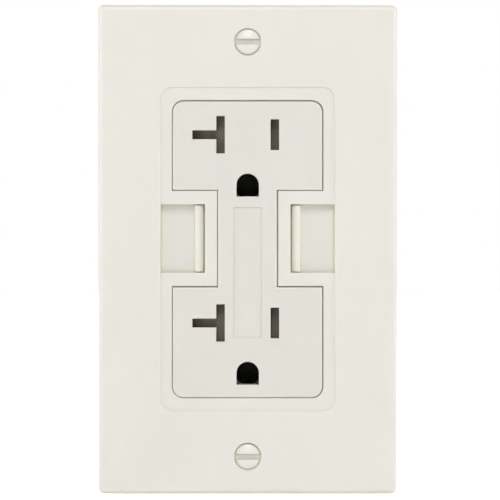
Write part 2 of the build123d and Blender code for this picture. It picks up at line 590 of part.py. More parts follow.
def box_screw_retainers():
    square = RectangleRounded(9.0, 7.4, 0.8) - Circle(NECK_RADIUS + 0.06)
    return Compound([slab(Pos(0, z) * square, 0.1, 0.9) for z in (-BOX_SCREW_Z, BOX_SCREW_Z)])


# ---------------------------------------------------------------- insulating bodies
def cut_corners(part, front, back):
    """Clears a part around the four corner posts."""
    for x, z in screw_posts():
        reach = POST_RADIUS + 0.5
        outside = 30.0
        span_x = (x - reach, outside) if x > 0 else (-outside, x + reach)
        span_z = (z - reach, 40.0) if z > 0 else (-40.0, z + reach)
        part -= block(span_x, (front, back), span_z)
    return part


def spacer_places():
    """X and Z of the four pegs that keep the power board away from the carrier."""
    return [(x, z) for x in (-SPACER_X, SPACER_X) for z in (-SPACER_Z, SPACER_Z)]


def contact_carrier():
    """The middle body, with pockets from the front for the contacts and wells for the USB ports."""
    half_x = BODY_WIDTH / 2 - BODY_WALL - 0.2
    half_z = BODY_HEIGHT / 2 - BODY_WALL - 0.2
    front, back = CARRIER_FRONT, CARRIER_BACK
    carrier = block((-half_x, half_x), (front, back), (-half_z, half_z))
    carrier = cut_corners(carrier, front - 1, back + 1)
    pocket = (front - 1, BAR_BACK + 0.2)
    web = (front - 1, STRAP_WEB_FRONT + STRAP_THICKNESS + 0.2)
    cuts = [block((-4.2, 4.2), web, (-half_z - 1, half_z + 1))]
    for side in (-1, 1):
        cuts.append(block((side * 4.7, side * 9.8), pocket, (-22.3, 31.3)))
        for z in (-TERMINAL_Z, TERMINAL_Z):
            cuts.append(block((side * 9.0, side * (half_x + 1)), pocket, (z - 5.6, z + 5.6)))
        well = Pos(side * PORT_X, PORT_Z) * Rectangle(USB_WIDTH + 0.4, USB_HEIGHT + 0.4)
        cuts.append(slab(well, front - 1, back + 1))
        switch = (side * (SWITCH_X - 1.6), side * (half_x + 1))
        cuts.append(block(switch, (front - 1, back + 1), (PORT_Z - 11.2, PORT_Z - 4.6)))
        cuts.append(rod_y(LEAD_RADIUS + 0.3, side * LEAD_X, (BAR_BACK - 1, back + 1), LEAD_Z))
    for line in SLOT_LINES.values():
        cuts.append(block((-13.0, -4.7), pocket, (line - 4.0, line + 4.0)))
        centre = line - GROUND_DROP
        cuts.append(rod_y(3.3, 0, (front - 1, 14.6), centre))
        foot = (front - 1, STRAP_WEB_FRONT + STRAP_THICKNESS + 1.6)
        cuts.append(block((-4.0, 4.0), foot, (centre - 3.6, centre + 6.9)))
    cuts.append(block((-half_x - 1, half_x + 1), (14.1, back + 1), (PORT_Z - 11.3, PORT_Z + 9.3)))
    for cut in cuts:
        carrier -= cut
    for x, z in spacer_places():
        carrier += rod_y(1.3, x, (back - 0.5, POWER_BOARD_FRONT - CLEAR), z)
    return carrier


def insulating_barrier():
    half_x = BODY_WIDTH / 2 - BODY_WALL - 0.2
    half_z = BODY_HEIGHT / 2 - BODY_WALL - 0.2
    through = (BARRIER_FRONT - 1, BARRIER_BACK + 1)
    sheet = block((-half_x, half_x), (BARRIER_FRONT, BARRIER_BACK), (-half_z, half_z))
    sheet = cut_corners(sheet, *through)
    sheet -= block((-5.2, 5.2), through, (LINK_PIN_Z - 1.1, LINK_PIN_Z + 1.1))
    for x, z in spacer_places() + [(-LEAD_X, LEAD_Z), (LEAD_X, LEAD_Z)]:
        sheet -= rod_y(1.45, x, through, z)
    return sheet


def rear_housing():
    inner_x, inner_z = BODY_WIDTH / 2 - BODY_WALL, BODY_HEIGHT / 2 - BODY_WALL
    tub = slab(RectangleRounded(BODY_WIDTH, BODY_HEIGHT, BODY_CORNER), HOUSING_FRONT, HOUSING_BACK)
    tub = fillet(edges_at(tub, Axis.Y, HOUSING_BACK), 1.2)
    hollow = RectangleRounded(2 * inner_x, 2 * inner_z, 1.0)
    tub -= slab(hollow, HOUSING_FRONT - 1, HOUSING_BACK - BODY_WALL)
    for x, z in screw_posts():
        side_x, side_z = (1 if x > 0 else -1), (1 if z > 0 else -1)
        depth = (POST_JOINT_Y + CLEAR, HOUSING_BACK - 1.0)
        tub += rod_y(POST_RADIUS, x, depth, z)
        tub += block((x, side_x * (inner_x + 0.4)), depth, (z, side_z * (inner_z + 0.4)))
        tub += rod_y(POST_RADIUS + 1.0, x, (HOUSING_BACK - 4.2, HOUSING_BACK - 1.0), z)
        tub -= rod_y(HOUSING_SCREW + 0.2, x, (POST_JOINT_Y - 1, HOUSING_BACK + 1), z)
        tub -= rod_y(HOUSING_HEAD + 0.25, x, (HOUSING_BACK - HOUSING_HEAD_DEPTH, HOUSING_BACK + 1), z)
        ledge = (side_x * (inner_x - 1.4), side_x * (inner_x + 0.4))
        tub += block(ledge, (POWER_BOARD_BACK + CLEAR, 26.0), (side_z * 11.0, side_z * 14.0))
    open_front = (HOUSING_FRONT - 1, 13.4)
    for z in (-TERMINAL_Z, TERMINAL_Z):
        tub -= block((-30, 30), open_front, (z - 5.4, z + 5.4))
    web_notch = STRAP_WEB_FRONT + STRAP_THICKNESS + 0.2
    tub -= block((-STRAP_WEB_HALF - 0.2, STRAP_WEB_HALF + 0.2), (HOUSING_FRONT - 1, web_notch), (-50, 50))
    ground_notch = (GROUND_SCREW_X - 2.6, GROUND_SCREW_X + 2.6)
    tub -= block(ground_notch, (HOUSING_FRONT - 1, GROUND_SCREW_Y + 2.6), (-50, -inner_z + 0.3))
    for side in (-1, 1):
        rib_span = (side * (BODY_WIDTH / 2 - 0.6), side * (BODY_WIDTH / 2 + 0.4))
        for row in range(SIDE_RIBS):
            y = SIDE_RIB_START + SIDE_RIB_PITCH * row
            tub += block(rib_span, (y, y + 1.2), (-26, 26))
    tub -= slab(RectangleRounded(24.0, 34.0, 1.0), HOUSING_BACK - 0.3, HOUSING_BACK + 1)
    return tub


def housing_screws():
    screws = []
    seat = HOUSING_BACK - HOUSING_HEAD_DEPTH
    head_top = seat + 1.7
    for x, z in screw_posts():
        head = rod_y(HOUSING_HEAD, x, (seat, head_top), z)
        head = fillet(edges_at(head, Axis.Y, head_top), 0.5)
        for reach_x, reach_z in ((1.5, 0.3), (0.3, 1.5)):
            head -= block((x - reach_x, x + reach_x), (seat + 0.8, seat + 3), (z - reach_z, z + reach_z))
        screws.append(head + rod_y(HOUSING_SCREW, x, (0.5, seat), z))
    return Compound(screws)


# ---------------------------------------------------------------- USB ports
def usb_shell():
    outline = RectangleRounded(USB_WIDTH, USB_HEIGHT, 0.5)
    bore = RectangleRounded(USB_WIDTH - 2 * USB_SKIN, USB_HEIGHT - 2 * USB_SKIN, 0.25)
    return slab(Pos(PORT_X, PORT_Z) * (outline - bore), -0.6, 14.1)


def usb_tongue():
    """The plastic base and tongue inside the right-hand port, with slots for the four contacts."""
    inner_half = USB_WIDTH / 2 - USB_SKIN - 0.04
    inner_height = USB_HEIGHT / 2 - USB_SKIN - 0.04
    base_z = (PORT_Z - inner_height, PORT_Z + inner_height)
    base = block((PORT_X - inner_half, PORT_X + inner_half), (9.6, 14.1), base_z)
    base = chamfer(base.edges().filter_by(Axis.Y), 0.2)
    tongue = block((PORT_X + 0.05, PORT_X + 1.89), (0.4, 9.7), (PORT_Z - 5.55, PORT_Z + 5.55))
    tongue = chamfer(edges_at(tongue, Axis.Y, 0.4), 0.35)
    tongue += base
    for z in pin_heights():
        tongue -= block((PORT_X - 0.01, PORT_X + 0.3), (0.9, 15), (z - 0.55, z + 0.55))
    return tongue


def pin_heights():
    """Heights of the four USB contacts: the outer pair stands further apart."""
    return [PORT_Z + offset for offset in USB_PIN_OFFSETS]


def usb_pins():
    pins = []
    for z in pin_heights():
        pins.append(block((PORT_X + 0.02, PORT_X + 0.26), (1.2, 16.6), (z - 0.5, z + 0.5)))
    return Compound(pins)


def switch_body():
    z = SWITCH_ROD_Z + 0.1
    body = block((SWITCH_X - 1.3, SWITCH_X + 1.3), (9.2, 14.2), (z - 3.0, z + 3.0))
    body = chamfer(body.edges().filter_by(Axis.Y), 0.25)
    return body - rod_y(SWITCH_ROD_RADIUS + 0.2, SWITCH_X, (9.0, 12.6), SWITCH_ROD_Z)


def switch_pin():
    """The push rod between the shutter's cam and the port's power switch."""
    tip = SHUTTER_BACK + CAM_LOW + CLEAR
    pin = rod_y(SWITCH_ROD_RADIUS, SWITCH_X, (tip, 10.6), SWITCH_ROD_Z)
    return fillet(edges_at(pin, Axis.Y, tip), 0.4)


def usb_board():
    board = block((-20.2, 20.2), (USB_BOARD_FRONT, USB_BOARD_BACK), (PORT_Z - 11.0, PORT_Z + 9.0))
    through = (USB_BOARD_FRONT - 1, USB_BOARD_BACK + 1)
    for side in (-1, 1):
        for z in pin_heights():
            board -= rod_y(0.62, side * (PORT_X + 0.14), through, z)
    for x in link_pin_places():
        board -= rod_y(LINK_PIN_RADIUS + 0.15, x, through, LINK_PIN_Z)
    return board


# ---------------------------------------------------------------- power supply
def link_pin_places():
    return [LINK_PIN_PITCH * (place - 1.5) for place in range(4)]


def board_link_pins():
    depth = (USB_BOARD_FRONT - 0.1, POWER_BOARD_BACK + 1.2)
    return Compound([rod_y(LINK_PIN_RADIUS, x, depth, LINK_PIN_Z) for x in link_pin_places()])


def supply_leads():
    depth = (BAR_BACK + 0.05, POWER_BOARD_BACK + 1.0)
    return Compound([rod_y(LEAD_RADIUS, x, depth, LEAD_Z) for x in (-LEAD_X, LEAD_X)])


def power_board():
    half_x = BODY_WIDTH / 2 - BODY_WALL - 0.4
    half_z = BODY_HEIGHT / 2 - BODY_WALL - 0.4
    span = (POWER_BOARD_FRONT, POWER_BOARD_BACK)
    through = (POWER_BOARD_FRONT - 1, POWER_BOARD_BACK + 1)
    board = cut_corners(block((-half_x, half_x), span, (-half_z, half_z)), *through)
    for side in (-1, 1):
        board -= rod_y(LEAD_RADIUS + 0.15, side * LEAD_X, through, LEAD_Z)
    for x in link_pin_places():
        board -= rod_y(LINK_PIN_RADIUS + 0.15, x, through, LINK_PIN_Z)
    return board


def transformer_core():
    """Two ferrite E halves, meeting at the middle of the winding."""
    low = POWER_BOARD_BACK + TRANSFORMER_LIFT
    halves = []
    height = (TRANSFORMER_Z - 2.4, TRANSFORMER_Z + 2.4)
    for side in (-1, 1):
        half = block((0.05 * side, 8.6 * side), (low, low + 12.0), height)
        half -= block((0, 6.4 * side), (low + 2.4, low + 4.4), (TRANSFORMER_Z - 3, TRANSFORMER_Z + 3))
        half -= block((0, 6.4 * side), (low + 7.6, low + 9.6), (TRANSFORMER_Z - 3, TRANSFORMER_Z + 3))
        halves.append(half)
    return Compound(halves)


def transformer_bobbin():
    low = POWER_BOARD_BACK + TRANSFORMER_LIFT
    z = TRANSFORMER_Z
    bobbin = block((-6.2, 6.2), (low + 4.0, low + 8.0), (z - 3.1, z + 3.1))
    for side in (-1, 1):
        wall = (side * 5.3, side * 6.2)
        bobbin += block(wall, (low + 2.6, low + 9.4), (z - 7.0, z + 7.0))
        for end in (-1, 1):
            foot = (z + end * 2.6, z + end * 7.0)
            bobbin += block((side * 4.0, side * 6.2), (POWER_BOARD_BACK, low + 2.8), foot)
    return bobbin - block((-7, 7), (low + 4.38, low + 7.62), (z - 2.45, z + 2.45))


def transformer_winding():
    low = POWER_BOARD_BACK + TRANSFORMER_LIFT
    winding = block((-5.2, 5.2), (low + 2.85, low + 9.15), (TRANSFORMER_Z - 6.2, TRANSFORMER_Z + 6.2))
    winding = fillet(winding.edges().filter_by(Axis.X), 1.6)
    return winding - block((-6, 6), (low + 3.95, low + 8.05), (TRANSFORMER_Z - 3.15, TRANSFORMER_Z + 3.15))


def can_capacitors(places, radius, height):
    cans = []
    for x, z in places:
        can = rod_y(radius, x, (POWER_BOARD_BACK + 0.3, POWER_BOARD_BACK + height), z)
        can = fillet(can.edges(), 0.5)
        groove = rod_y(radius + 1, x, (POWER_BOARD_BACK + 1.6, POWER_BOARD_BACK + 2.2), z)
        can -= groove - rod_y(radius - 0.3, x, (POWER_BOARD_BACK + 1, POWER_BOARD_BACK + 3), z)
        for offset in (-1.25, 1.25):
            can += rod_y(0.3, x + offset, (POWER_BOARD_BACK, POWER_BOARD_BACK + 0.5), z)
        cans.append(can)
    return Compound(cans)


def power_chips():
    """The bridge rectifier, the controller and the output rectifier."""
    back = POWER_BOARD_BACK
    bridge = (-14.5, 20.5, 5.0, 6.4, 2.6)
    controller = (12.5, -6.0, 3.9, 4.9, 1.6)
    rectifier = (12.5, 3.0, 5.0, 6.0, 1.2)
    chips = []
    for x, z, width, height, rise in (bridge, controller, rectifier):
        span_z = (z - height / 2, z + height / 2)
        chip = block((x - width / 2, x + width / 2), (back + 0.15, back + rise), span_z)
        chip = chamfer(edges_at(chip, Axis.Y, back + rise), 0.3)
        for side in (-1, 1):
            for pin in range(4):
                z_pin = z + (pin - 1.5) * height / 4
                x_span = (x + side * (width / 2 - 0.1), x + side * (width / 2 + 1.0))
                chip += block(x_span, (back, back + 0.35), (z_pin - 0.22, z_pin + 0.22))
        chips.append(chip)
    return Compound(chips)


def surge_varistor():
    disc = rod_z(4.0, 15.0, POWER_BOARD_BACK + 5.0, (14.0, 17.6))
    disc = fillet(disc.edges(), 1.0)
    for offset in (-2.5, 2.5):
        disc += rod_y(0.35, 15.0 + offset, (POWER_BOARD_BACK, POWER_BOARD_BACK + 3.0), 15.8)
    return disc


def input_fuse():
    body = rod_x(1.9, (-5.0, 4.6), POWER_BOARD_BACK + 2.3, FUSE_Z)
    body = fillet(body.edges(), 0.7)
    for x in (-4.0, 3.6):
        body += rod_y(0.35, x, (POWER_BOARD_BACK, POWER_BOARD_BACK + 1.5), FUSE_Z)
    return body


# ---------------------------------------------------------------- assembly
def assembly():
    parts = {
        "wall_plate": wall_plate(),
        "plate_screws": plate_screws(),
        "shutter_track_screws": track_screws(),
        "face_cover": face_cover(),
        "mounting_strap": mounting_strap(),
        "ground_contact_rivets": ground_rivets(),
        "neutral_contact_bar": contact_bar(-1),
        "hot_contact_bar": contact_bar(1),
        "box_screws": box_screws(),
        "box_screw_retainers": box_screw_retainers(),
        "contact_carrier": contact_carrier(),
        "insulating_barrier": insulating_barrier(),
        "rear_housing": rear_housing(),
        "housing_screws": housing_screws(),
        "usb_board": usb_board(),
        "power_board": power_board(),
        "board_link_pins": board_link_pins(),
        "supply_leads": supply_leads(),
        "transformer_core": transformer_core(),
        "transformer_bobbin": transformer_bobbin(),
        "transformer_winding": transformer_winding(),
        "input_capacitors": can_capacitors(INPUT_CAPACITORS, 4.0, 14.5),
        "output_capacitors": can_capacitors(OUTPUT_CAPACITORS, 3.15, 11.0),
        "power_chips": power_chips(),
        "surge_varistor": surge_varistor(),
        "input_fuse": input_fuse(),
    }
    for name, line in SLOT_LINES.items():
        parts[f"{name}_tamper_slider"] = tamper_slider(line)
        parts[f"{name}_tamper_spring"] = tamper_spring(line)
        parts[f"{name}_tamper_cage"] = tamper_cage(line)
        parts[f"{name}_ground_contact"] = ground_contact(line)
    paired = {
        "usb_shutter": usb_shutter(),
        "shutter_track": shutter_track(),
        "shutter_spring": shutter_spring(),
        "usb_shell": usb_shell(),
        "usb_tongue": usb_tongue(),
        "usb_pins": usb_pins(),
        "switch_body": switch_body(),
        "switch_pin": switch_pin(),
    }
    for name, part in paired.items():
        parts[f"right_{name}"] = part
        parts[f"left_{name}"] = mirrored(part)
    for height, z in (("upper", TERMINAL_Z), ("lower", -TERMINAL_Z)):
        for pole, side in (("neutral", -1), ("hot", 1)):
            screw, clamp = side_terminal(side, z)
            parts[f"{height}_{pole}_screw"] = screw
            parts[f"{height}_{pole}_clamp"] = clamp
    parts["ground_screw"], parts["ground_clamp"] = ground_terminal()
    return parts


if __name__ == "__main__":
    os.makedirs("parts", exist_ok=True)
    for name, part in assembly().items():
        export_step(part, f"parts/{name}.step")
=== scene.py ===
import json
import math

import bpy
from mathutils import Matrix, Vector


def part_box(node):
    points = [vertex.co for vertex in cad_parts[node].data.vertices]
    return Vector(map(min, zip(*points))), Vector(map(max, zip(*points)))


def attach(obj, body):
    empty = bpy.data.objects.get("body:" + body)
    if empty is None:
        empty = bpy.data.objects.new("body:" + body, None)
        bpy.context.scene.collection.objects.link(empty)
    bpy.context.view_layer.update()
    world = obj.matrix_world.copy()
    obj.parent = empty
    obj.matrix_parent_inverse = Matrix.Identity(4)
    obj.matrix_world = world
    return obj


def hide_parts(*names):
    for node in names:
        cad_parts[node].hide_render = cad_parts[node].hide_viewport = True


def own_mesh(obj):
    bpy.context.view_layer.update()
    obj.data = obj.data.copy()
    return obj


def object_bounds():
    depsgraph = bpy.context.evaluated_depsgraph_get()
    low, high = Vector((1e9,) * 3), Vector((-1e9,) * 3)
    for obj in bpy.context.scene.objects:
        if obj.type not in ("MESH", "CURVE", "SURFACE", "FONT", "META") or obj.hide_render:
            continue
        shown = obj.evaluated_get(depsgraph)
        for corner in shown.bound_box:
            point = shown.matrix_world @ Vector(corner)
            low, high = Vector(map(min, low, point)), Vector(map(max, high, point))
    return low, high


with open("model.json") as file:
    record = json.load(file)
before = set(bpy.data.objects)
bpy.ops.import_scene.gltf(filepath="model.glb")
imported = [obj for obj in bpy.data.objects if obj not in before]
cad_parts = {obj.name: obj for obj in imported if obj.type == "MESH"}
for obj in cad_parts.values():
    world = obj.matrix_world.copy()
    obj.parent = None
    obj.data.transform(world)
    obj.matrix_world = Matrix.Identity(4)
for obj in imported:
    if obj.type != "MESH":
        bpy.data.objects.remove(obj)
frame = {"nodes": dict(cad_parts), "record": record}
cad_low, cad_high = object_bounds()

MM = 0.001
SIDES = {"left": -1, "right": 1}
LEVELS = ("upper", "lower")
POLES = {"neutral": -1, "hot": 1}
THREAD_PITCH = 0.79375 * MM
THREAD_DEPTH = 0.42 * MM


# ---------------------------------------------------------------- places read from the frame
def span(node, axis):
    """Lowest and highest value of a CAD node along an axis: 0 is X, 1 is Y, 2 is Z."""
    low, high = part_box(node)
    return low[axis], high[axis]


# ---------------------------------------------------------------- material building blocks
def srgb(red, green, blue):
    """A colour given as 0 to 255 values, as linear numbers with alpha."""

    def linear(value):
        share = value / 255
        return share / 12.92 if share <= 0.04045 else ((share + 0.055) / 1.055) ** 2.4

    return (linear(red), linear(green), linear(blue), 1.0)


def shaded(colour, factor):
    """A colour made lighter or darker by a factor."""
    return tuple(min(1.0, c * factor) for c in colour[:3]) + (1.0,)


def warmed(colour, factor):
    """A colour shaded by a factor and yellowed, as pale plastic looks where light bounces in a corner."""
    green_kept, blue_kept = 0.975, 0.78
    red, green, blue, alpha = shaded(colour, factor)
    return (red, green_kept * green, blue_kept * blue, alpha)


class Paint:
    """One node material, built around a Principled shader, with patterns measured in millimetres."""

    def __init__(self, name):
        self.material = bpy.data.materials.new(name)
        self.material.use_nodes = True
        self.tree = self.material.node_tree
        self.shader = self.tree.nodes["Principled BSDF"]
        coordinates = self.tree.nodes.new("ShaderNodeTexCoord")
        self.place = self.vector("SCALE", coordinates.outputs["Object"], scale=1 / MM)

    def plug(self, socket, value):
        """Links an output to a socket, or sets the socket's value."""
        if isinstance(value, bpy.types.NodeSocket):
            self.tree.links.new(value, socket)
        else:
            socket.default_value = value

    def node(self, kind, settings=None, inputs=None):
        """Adds a node with its settings and its inputs, named or numbered."""
        made = self.tree.nodes.new("ShaderNode" + kind)
        for key, value in (settings or {}).items():
            setattr(made, key, value)
        for key, value in (inputs or {}).items():
            self.plug(made.inputs[key], value)
        return made

    def vector(self, operation, first, second=None, scale=None):
        inputs = {0: first}
        if second is not None:
            inputs[1] = second
        if scale is not None:
            inputs["Scale"] = scale
        return self.node("VectorMath", {"operation": operation}, inputs).outputs[0]

    def math(self, operation, first, second=0.0):
        return self.node("Math", {"operation": operation}, {0: first, 1: second}).outputs[0]

    def axis(self, letter):
        """One coordinate of the surface point, in millimetres."""
        return self.node("SeparateXYZ", inputs={0: self.place}).outputs[letter]

    def stretched(self, x, y, z):
        """The place, scaled differently along each axis, for grain that runs one way."""
        return self.vector("MULTIPLY", self.place, (x, y, z))

    def noise(self, per_mm, detail=2.0, roughness=0.5, place=None, distortion=0.0):
        """Noise from 0 to 1, with this many features to the millimetre."""
        inputs = {
            "Vector": place or self.place,
            "Scale": per_mm,
            "Detail": detail,
            "Roughness": roughness,
            "Distortion": distortion,
        }
        return self.node("TexNoise", inputs=inputs).outputs[0]

    def cells(self, per_mm, feature="F1", distance="EUCLIDEAN", place=None):
        """Distance within a pattern of cells."""
        settings = {"feature": feature}
        if feature == "F1":
            settings["distance"] = distance
        inputs = {"Vector": place or self.place, "Scale": per_mm}
        return self.node("TexVoronoi", settings, inputs).outputs["Distance"]

    def remap(self, value, low, high, to_low=0.0, to_high=1.0):
        inputs = {"Value": value, "From Min": low, "From Max": high, "To Min": to_low, "To Max": to_high}
        return self.node("MapRange", {"clamp": True}, inputs).outputs[0]

    def mix(self, share, first, second):
        """A blend of two colours."""
        mixer = self.node("Mix", {"data_type": "RGBA"}, {0: share, 6: first, 7: second})
        return mixer.outputs[2]

    def crevice(self, reach_mm):
        """0 on an open surface and 1 deep in a corner or a gap."""
        deep, clear = 0.3, 0.84
        settings = {"samples": 4}
        open_sky = self.node("AmbientOcclusion", settings, {"Distance": reach_mm * MM}).outputs["AO"]
        return self.remap(open_sky, deep, clear, 1.0, 0.0)

    def rounded(self, radius_mm):
        """The surface normal with its sharp edges softened."""
        return self.node("Bevel", {"samples": 4}, {"Radius": radius_mm * MM}).outputs[0]

    def bump(self, height, depth_mm, normal=None):
        """A normal that follows a height from 0 to 1, scaled to a depth."""
        inputs = {"Height": height, "Distance": depth_mm * MM, "Strength": 1.0}
        if normal is not None:
            inputs["Normal"] = normal
        return self.node("Bump", inputs=inputs).outputs[0]

    def finish(self, colour=None, roughness=None, normal=None, metallic=0.0, **more):
        """Connects the parts to the shader."""
        wanted = {"Base Color": colour, "Roughness": roughness, "Normal": normal, "Metallic": metallic}
        wanted.update({key.replace("_", " "): value for key, value in more.items()})
        for key, value in wanted.items():
            if value is not None:
                self.plug(self.shader.inputs[key], value)
        return self.material


# ---------------------------------------------------------------- material families
def moulded_plastic(name, colour, roughness=0.38, edge_mm=0.12, grain_mm=0.004, corner_shade=0.75, soft=0.0):
    """Moulded plastic: faint flow mottling, a fine tool texture, soft edges and shaded corners."""
    paint = Paint(name)
    flow = paint.noise(0.07, 3.0, 0.55, paint.stretched(1.0, 1.0, 0.6), 0.6)
    speckle = paint.noise(2.2, 2.0)
    body = paint.mix(paint.remap(flow, 0.3, 0.7), shaded(colour, 0.985), shaded(colour, 1.012))
    body = paint.mix(paint.remap(speckle, 0.35, 0.65, 0.0, 0.35), body, shaded(colour, 0.975))
    # painted shade: corners and gaps are darkened and yellowed in the colour, as light looks there after
    # bouncing in the plastic
    body = paint.mix(paint.crevice(1.1), body, warmed(colour, corner_shade))
    fine = paint.noise(9.0, 3.0, 0.6)
    waves = paint.noise(0.16, 1.0)
    normal = paint.bump(waves, 0.05, paint.rounded(edge_mm))
    normal = paint.bump(fine, grain_mm, normal)
    gloss = paint.remap(paint.noise(0.7, 4.0, 0.6), 0.25, 0.75, roughness - 0.05, roughness + 0.06)
    extras = {"Specular_IOR_Level": 0.45}
    if soft:
        reach = {"Subsurface_Scale": 1.2 * MM, "Subsurface_Radius": (1.0, 0.8, 0.6)}
        extras.update(reach, Subsurface_Weight=soft)
    return paint.finish(body, gloss, normal, **extras)


def tamper_plastic(name, colour):
    """Glass-filled plastic whose outer ramp is painted paler, as painted light that lifts the deep shade it
    lies in, and is glossier there.
    """
    painted_light_tone = srgb(140, 127, 110)
    light_start_x, light_end_x = -7.2, -9.6
    paint = Paint(name)
    ramp = paint.remap(paint.axis("X"), light_start_x, light_end_x)
    fill = paint.noise(4.0, 4.0, 0.7, paint.stretched(0.3, 1.0, 1.0))
    body = paint.mix(paint.remap(fill, 0.3, 0.7), shaded(colour, 0.9), shaded(colour, 1.1))
    # painted light: the ramp lies far back in the slot, and along X it is painted paler to lift its shade
    body = paint.mix(ramp, body, shaded(painted_light_tone, 1.25))
    rough = paint.remap(ramp, 0.0, 1.0, 0.52, 0.36)
    return paint.finish(body, rough, paint.bump(fill, 0.01, paint.rounded(0.1)))


def plated_metal(name, colour, roughness=0.3, grain=(0.25, 0.25, 4.0), spangle=0.0, hollow_shade=0.82):
    """Plated or rolled metal: fine drawn lines, cloudy plating, and painted shade in the corners."""
    paint = Paint(name)
    lines = paint.noise(3.0, 4.0, 0.65, paint.stretched(*grain))
    clouds = paint.noise(0.35, 4.0, 0.6)
    body = paint.mix(paint.remap(clouds, 0.3, 0.72), shaded(colour, 0.9), shaded(colour, 1.06))
    body = paint.mix(paint.remap(lines, 0.3, 0.7, 0.0, 0.5), body, shaded(colour, 0.88))
    if spangle:
        facets = paint.node("TexVoronoi", inputs={"Vector": paint.place, "Scale": 0.8}).outputs["Color"]
        grey = paint.node("RGBToBW", inputs={0: facets}).outputs[0]
        body = paint.mix(paint.remap(grey, 0.2, 0.8, 0.0, spangle), body, shaded(colour, 0.75))
    # painted shade: the colour is darkened near corners and hollows
    body = paint.mix(paint.crevice(0.7), body, shaded(colour, hollow_shade))
    rough = paint.remap(clouds, 0.2, 0.8, roughness - 0.07, roughness + 0.12)
    normal = paint.bump(lines, 0.004, paint.rounded(0.06))
    return paint.finish(body, rough, normal, metallic=1.0)


def contact_brass(name, colour):
    """Rolled brass strip, with the mouths of the two ground sleeves in the middle painted dark brown, as
    painted shade deep in the ground holes.
    """
    sleeve_edge, past_sleeve = 3.6, 4.2
    mouth_depth, unshaded_depth = 4.8, 8.5
    paint = Paint(name)
    lines = paint.noise(3.0, 4.0, 0.65, paint.stretched(0.3, 1.0, 3.0))
    clouds = paint.noise(0.35, 4.0, 0.6)
    body = paint.mix(paint.remap(clouds, 0.3, 0.72), shaded(colour, 0.88), shaded(colour, 1.06))
    body = paint.mix(paint.remap(lines, 0.3, 0.7, 0.0, 0.5), body, shaded(colour, 0.85))
    off_centre = paint.math("ABSOLUTE", paint.axis("X"))
    sleeve = paint.remap(off_centre, sleeve_edge, past_sleeve, 1.0, 0.0)
    mouth = paint.remap(paint.axis("Y"), mouth_depth, unshaded_depth, 1.0, 0.0)
    # painted shade: the ground sleeve mouths are darkened almost to black, where the holes fall dark
    hollow_shade = paint.math("MULTIPLY", sleeve, mouth)
    body = paint.mix(hollow_shade, body, shaded(colour, 0.06))
    rough = paint.remap(paint.math("ADD", clouds, hollow_shade), 0.2, 1.6, 0.22, 0.7)
    return paint.finish(body, rough, paint.bump(lines, 0.004, paint.rounded(0.06)), metallic=1.0)


def enamelled(name, colour, roughness=0.3):
    """Sprayed enamel over steel: a gentle orange peel under a thin gloss, worn where a driver turns."""
    paint = Paint(name)
    peel = paint.noise(2.4, 2.0, 0.45)
    body = paint.mix(paint.remap(peel, 0.35, 0.65), shaded(colour, 0.98), shaded(colour, 1.01))
    # painted shade: the screw slot and other hollows are darkened and yellowed in the colour
    body = paint.mix(paint.crevice(0.6), body, warmed(colour, 0.5))
    scuffs = paint.noise(5.0, 5.0, 0.75, paint.stretched(0.3, 1.0, 2.4))
    body = paint.mix(paint.remap(scuffs, 0.66, 0.8, 0.0, 0.35), body, shaded(colour, 0.8))
    normal = paint.bump(peel, 0.012, paint.rounded(0.1))
    rough = paint.remap(scuffs, 0.3, 0.8, roughness - 0.04, roughness + 0.16)
    return paint.finish(body, rough, normal, Coat_Weight=0.25, Coat_Roughness=0.2)


def fibre_board(name, colour):
    """Pressed fibre: long dark and pale fibres that cross in layers."""
    paint = Paint(name)
    long_way = paint.noise(2.0, 5.0, 0.7, paint.stretched(0.3, 1.0, 3.0), 0.8)
    cross_way = paint.noise(2.0, 5.0, 0.7, paint.stretched(3.0, 1.0, 0.3), 0.8)
    fibres = paint.math("MULTIPLY", long_way, cross_way)
    body = paint.mix(paint.remap(fibres, 0.12, 0.42), shaded(colour, 0.72), shaded(colour, 1.25))
    return paint.finish(body, 0.85, paint.bump(fibres, 0.05, paint.rounded(0.08)))


def circuit_board(name, mask, copper_tone):
    """Solder mask over copper: right-angled tracks stand slightly proud, with small bare vias."""
    paint = Paint(name)
    flat = paint.stretched(1.0, 0.0, 1.0)
    tracks = paint.remap(paint.cells(0.42, "F1", "CHEBYCHEV", flat), 0.42, 0.47)
    vias = paint.remap(paint.cells(0.28, "F1", "EUCLIDEAN", flat), 0.05, 0.07, 1.0, 0.0)
    cloth = paint.noise(1.6, 2.0, 0.5, paint.stretched(3.0, 1.0, 0.4))
    body = paint.mix(tracks, mask, shaded(mask, 1.7))
    body = paint.mix(paint.remap(cloth, 0.4, 0.7, 0.0, 0.3), body, shaded(mask, 0.7))
    body = paint.mix(vias, body, copper_tone)
    rough = paint.remap(cloth, 0.3, 0.7, 0.22, 0.34)
    normal = paint.bump(paint.math("ADD", tracks, vias), 0.03, paint.rounded(0.05))
    return paint.finish(body, rough, normal, metallic=vias, Coat_Weight=0.3, Coat_Roughness=0.15)


def ferrite(name, colour):
    """Sintered ferrite: a fine dark grain with ground faces."""
    paint = Paint(name)
    grain = paint.noise(6.0, 5.0, 0.7)
    body = paint.mix(paint.remap(grain, 0.35, 0.7), shaded(colour, 0.8), shaded(colour, 1.5))
    rough = paint.remap(grain, 0.3, 0.7, 0.4, 0.62)
    return paint.finish(body, rough, paint.bump(grain, 0.015, paint.rounded(0.12)), metallic=0.15)


